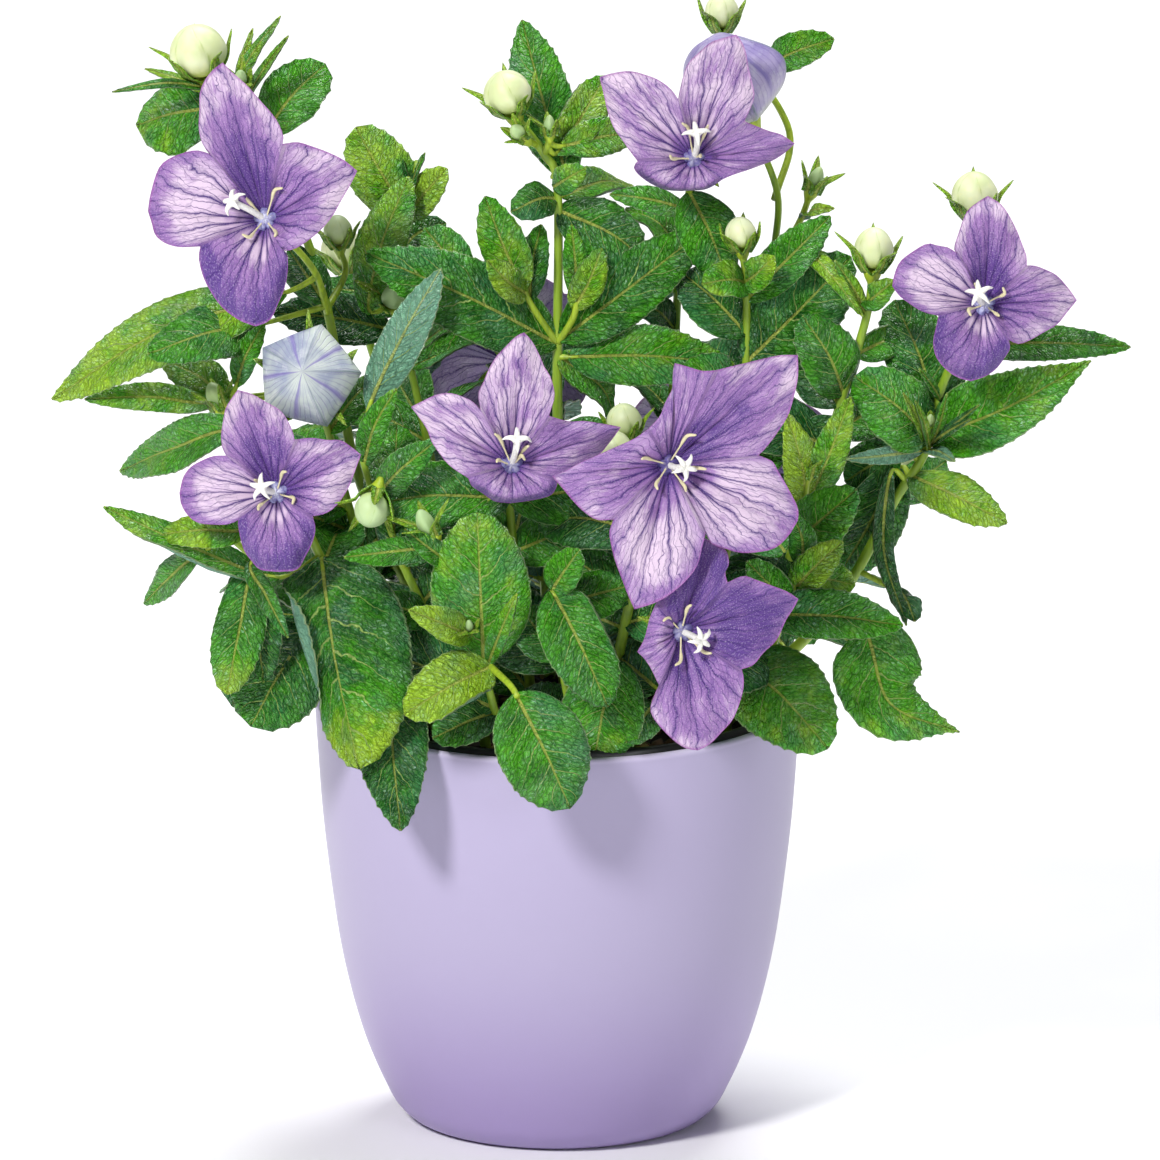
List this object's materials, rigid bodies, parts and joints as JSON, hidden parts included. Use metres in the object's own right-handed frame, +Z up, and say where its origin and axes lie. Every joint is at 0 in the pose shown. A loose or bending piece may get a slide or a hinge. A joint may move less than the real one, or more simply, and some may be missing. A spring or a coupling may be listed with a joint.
{
  "type": "potted balloon flower",
  "caption": "Leafy balloon flower plant in bloom, with open purple bells, balloon buds and toothed green leaves, rooted in a nursery pot of soil inside a smooth rounded outer pot",
  "frame": {"origin": "centre of the flat underside of the outer pot, on the surface the pot stands on", "axes": "+Z up along the pot's axis, -Y towards the side the plant shows in the picture, +X to the right of that view"},
  "size_m": [0.2693, 0.182, 0.2829],
  "materials": {
    "pot": "gloss",
    "nursery_pot": "satin",
    "soil": "matte",
    "leaf": "satin",
    "petal": "satin",
    "centre": "matte",
    "balloon": "satin",
    "bud": "satin"
  },
  "bodies": {
    "root": {"balloon_left": "balloon", "balloon_right": "balloon", "bud_back_left": "bud", "bud_back_right": "bud", "bud_behind": "bud", "bud_centre": "bud", "bud_centre_low": "bud", "bud_centre_top": "bud", "bud_far_right": "bud", "bud_left_centre": "bud", "bud_right": "bud", "bud_right_small": "bud", "bud_top_edge": "bud", "bud_upper_left": "bud", "centre_back_centre": "centre", "centre_back_right": "centre", "centre_front_centre": "centre", "centre_front_large": "centre", "centre_front_low": "centre", "centre_left": "centre", "centre_right": "centre", "centre_top_right": "centre", "centre_upper_left": "centre", "corolla_back_centre": "petal", "corolla_back_right": "petal", "corolla_front_centre": "petal", "corolla_front_large": "petal", "corolla_front_low": "petal", "corolla_left": "petal", "corolla_right": "petal", "corolla_top_right": "petal", "corolla_upper_left": "petal", "nursery_pot": "nursery_pot", "pot": "pot", "soil": "soil", "stem_back_centre": "leaf", "stem_back_far_left": "leaf", "stem_back_far_right": "leaf", "stem_back_left": "leaf", "stem_back_right": "leaf", "stem_balloon_left": "leaf", "stem_balloon_right": "leaf", "stem_centre": "leaf", "stem_front_centre": "leaf", "stem_front_large": "leaf", "stem_front_left": "leaf", "stem_front_low": "leaf", "stem_front_right": "leaf", "stem_left": "leaf", "stem_left_back": "leaf", "stem_left_centre": "leaf", "stem_right": "leaf", "stem_right_bud": "leaf", "stem_right_inner": "leaf", "stem_right_low": "leaf", "stem_top_right": "leaf", "stem_upper_left": "leaf"}
  },
  "joints": []
}
